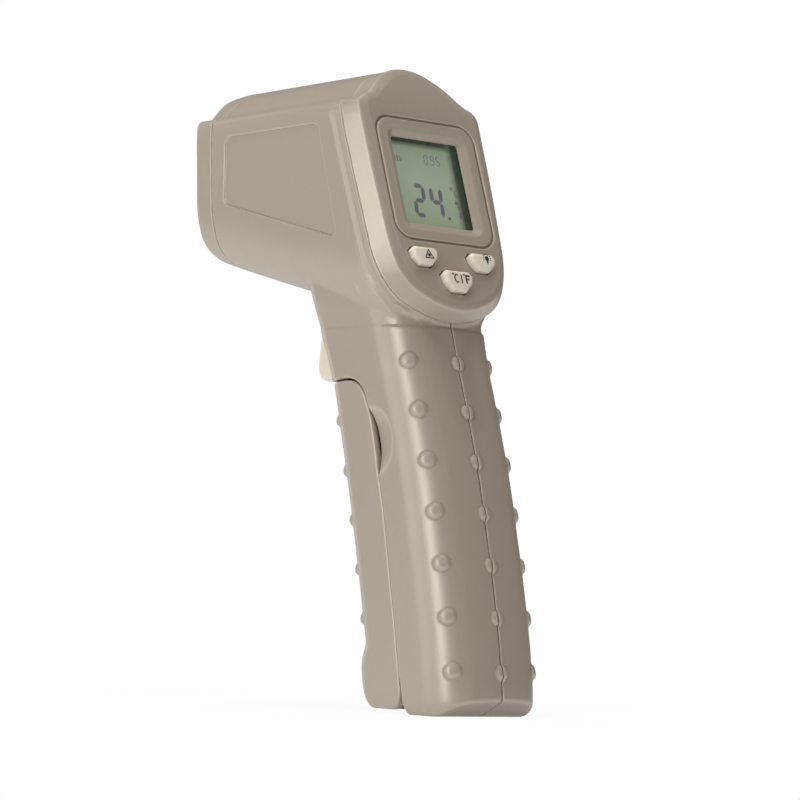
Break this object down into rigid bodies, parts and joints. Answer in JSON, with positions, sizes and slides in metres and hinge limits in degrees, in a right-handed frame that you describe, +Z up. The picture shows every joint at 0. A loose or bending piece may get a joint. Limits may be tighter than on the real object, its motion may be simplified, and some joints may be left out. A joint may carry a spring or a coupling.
{
  "type": "infrared thermometer",
  "caption": "Pistol-shaped handheld infrared thermometer with a tilted rear display panel, push buttons, a finger trigger and a hinged battery door in the grip.",
  "frame": {"origin": "centre of the bounding box's bottom face, level with the flat foot of the grip", "axes": "+Z up along the grip, the measuring nose points along -Y, the display faces +Y and slightly up, +X is the user's left"},
  "size_m": [0.0422, 0.1009, 0.1534],
  "materials": {
    "housing_plastic": "satin moulded ABS with a fine spark-eroded grain, warm grey-beige",
    "button_plastic": "satin cream moulded plastic with printed black symbols on the buttons",
    "clear_window": "clear polished acrylic pane",
    "lcd_glass": "grey-green reflective liquid crystal display with dark segments",
    "diffuser": "milky acrylic light guide",
    "zebra_rubber": "soft silicone strip with conductive layers",
    "circuit_board": "green solder mask over glass-fibre board",
    "chip_black": "black moulded component body",
    "brass_metal": "turned brass, lightly oxidised",
    "lens_material": "infrared-passing moulded lens, dark red",
    "steel_metal": "zinc-plated steel",
    "nickel_contact": "nickel-plated spring steel",
    "tray_plastic": "black moulded plastic",
    "battery_sleeve": null,
    "wire_red": "red PVC insulation",
    "wire_black": "black PVC insulation",
    "wire_grey": "grey PVC insulation"
  },
  "bodies": {
    "housing": {"left_shell": "housing_plastic", "right_shell": "housing_plastic", "nose_cap": "housing_plastic", "rear_bezel": "housing_plastic", "display_window": "clear_window", "lcd_panel": "lcd_glass", "backlight_diffuser": "diffuser", "zebra_connector": "zebra_rubber", "main_board": "circuit_board", "sensor_board": "circuit_board", "trigger_board": "circuit_board", "processor_chip": "chip_black", "laser_switch": "chip_black", "unit_switch": "chip_black", "backlight_switch": "chip_black", "trigger_switch": "chip_black", "sensor_tube": "brass_metal", "laser_module": "brass_metal", "infrared_lens": "lens_material", "lens_ring": "chip_black", "thermopile_sensor": "steel_metal", "trigger_pin": "steel_metal", "trigger_spring": "steel_metal", "battery_tray": "tray_plastic", "battery_1": "battery_sleeve", "battery_2": "battery_sleeve", "contact_plate_top": "nickel_contact", "contact_plate_bottom": "nickel_contact", "contact_spring_top": "nickel_contact", "contact_spring_bottom": "nickel_contact", "door_hinge_pin": "steel_metal", "battery_wire_red": "wire_red", "battery_wire_black": "wire_black", "trigger_wire": "wire_grey", "laser_wire": "wire_red", "sensor_cable": "wire_grey", "board_screw_1": "steel_metal", "shell_screw_1": "steel_metal", "board_screw_2": "steel_metal", "shell_screw_2": "steel_metal", "board_screw_3": "steel_metal", "shell_screw_3": "steel_metal", "board_screw_4": "steel_metal", "shell_screw_4": "steel_metal"},
    "trigger": {"trigger": "button_plastic"},
    "battery_door": {"battery_door": "housing_plastic"},
    "laser_button": {"laser_button": "button_plastic"},
    "unit_button": {"unit_button": "button_plastic"},
    "backlight_button": {"backlight_button": "button_plastic"}
  },
  "joints": [
    {"name": "trigger_pull", "type": "hinge", "parent": "housing", "child": "trigger", "pos_m": [0, -0.01055, 0.1027], "axis": [1, 0, 0], "range_deg": [0, 6], "stiffness_Nm_per_rad": 0.05, "deforming": ["trigger_spring"]},
    {"name": "battery_door_hinge", "type": "hinge", "parent": "housing", "child": "battery_door", "pos_m": [0, 0.02725, 0.0052], "axis": [1, 0, 0], "range_deg": [0, 85]},
    {"name": "laser_button_press", "type": "slide", "parent": "housing", "child": "laser_button", "axis": [0, -0.9403, -0.3402], "range_m": [0, 0.0008]},
    {"name": "unit_button_press", "type": "slide", "parent": "housing", "child": "unit_button", "axis": [0, -0.9403, -0.3402], "range_m": [0, 0.0008]},
    {"name": "backlight_button_press", "type": "slide", "parent": "housing", "child": "backlight_button", "axis": [0, -0.9403, -0.3402], "range_m": [0, 0.0008]}
  ]
}
